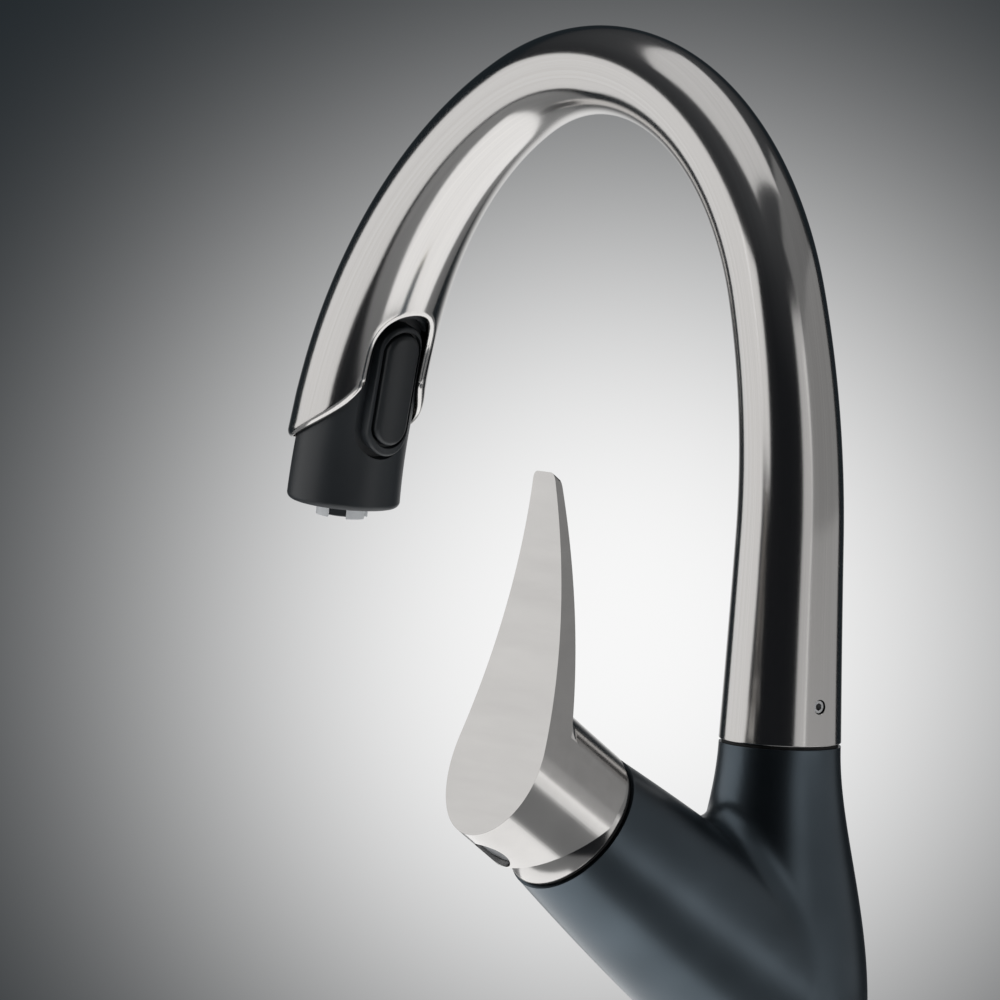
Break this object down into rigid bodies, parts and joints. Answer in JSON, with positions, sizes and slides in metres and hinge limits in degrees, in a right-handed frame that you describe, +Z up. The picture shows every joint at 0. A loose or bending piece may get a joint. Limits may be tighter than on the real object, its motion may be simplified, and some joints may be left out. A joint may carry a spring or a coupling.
{
  "type": "pre rinse faucet",
  "caption": "Single-lever sink mixer with an arched swivelling spout, a pull-out spray with a push button, and a lever on a slanting side branch.",
  "frame": {"origin": "centre of the tap hole at the worktop's upper face, on the column's axis", "axes": "+Z up, -Y towards the spout's end, +X towards the lever"},
  "size_m": [0.1352, 0.2721, 0.414],
  "materials": {
    "satin_steel": "satin brushed stainless steel",
    "anthracite": "satin anthracite coating",
    "black_plastic": "matte black",
    "white_plastic": "matte white",
    "grey_plastic": "matte grey",
    "rubber": "matt black",
    "brass": "machined brass",
    "zinc_steel": "machined and plated",
    "ceramic": "ground ceramic",
    "braid": "braided sleeve"
  },
  "bodies": {
    "base": {"body": "anthracite", "inlet_manifold": "brass", "base_ring": "satin_steel", "base_seal": "rubber", "mounting_shank": "zinc_steel", "clamp_seal": "rubber", "clamp_washer": "zinc_steel", "clamp_nut": "brass", "swivel_nipple": "brass", "glide_ring_lower": "white_plastic", "glide_ring_upper": "white_plastic", "neck_washer": "rubber", "cartridge_housing": "white_plastic", "port_seal": "rubber", "fixed_disc": "ceramic", "cartridge_nut": "brass", "dome_ring": "satin_steel", "trim_gasket": "rubber", "hose_coupling": "brass"},
    "spout": {"spout_tube": "satin_steel", "spout_sleeve": "zinc_steel", "set_screw": "zinc_steel", "docking_bush": "grey_plastic", "spray_hose": "braid"},
    "spray": {"spray_shell": "black_plastic", "nozzle_plate": "grey_plastic", "aerator_ring": "white_plastic", "aerator_insert": "black_plastic", "hose_connector": "brass", "button_spring": "zinc_steel"},
    "button": {"spray_button": "black_plastic", "diverter_spool": "white_plastic"},
    "turn": {"cartridge_rotor": "grey_plastic", "pivot_pin": "zinc_steel"},
    "lever": {"lever": "satin_steel", "lever_spindle": "brass", "grub_screw": "zinc_steel", "lever_plug": "grey_plastic"},
    "disc": {"moving_disc": "ceramic", "disc_carrier": "grey_plastic"}
  },
  "joints": [
    {"name": "spout_swivel", "type": "hinge", "parent": "base", "child": "spout", "pos_m": [0, 0, 0.15], "axis": [0, 0, 1], "range_deg": [-60, 60]},
    {"name": "spray_pullout", "type": "slide", "parent": "spout", "child": "spray", "axis": [0, -0.3007, -0.9537], "range_m": [0, 0.45]},
    {"name": "button_press", "type": "slide", "parent": "spray", "child": "button", "axis": [0, -0.9537, 0.3007], "range_m": [0, 0.0015], "stiffness_N_per_m": 1500},
    {"name": "lever_turn", "type": "hinge", "parent": "base", "child": "turn", "pos_m": [0.07284, 0, 0.13154], "axis": [0.8121, 0, 0.5835], "range_deg": [-45, 45]},
    {"name": "lever_lift", "type": "hinge", "parent": "turn", "child": "lever", "pos_m": [0.06618, 0, 0.12676], "axis": [0, 1, 0], "range_deg": [0, 20]},
    {"name": "disc_travel", "type": "slide", "parent": "turn", "child": "disc", "axis": [-0.5835, 0, 0.8121], "range_m": [0, 0.0033]}
  ],
  "couplings": [
    {"joint": "disc_travel", "follows": "lever_lift", "m_per_rad": 0.0093}
  ]
}
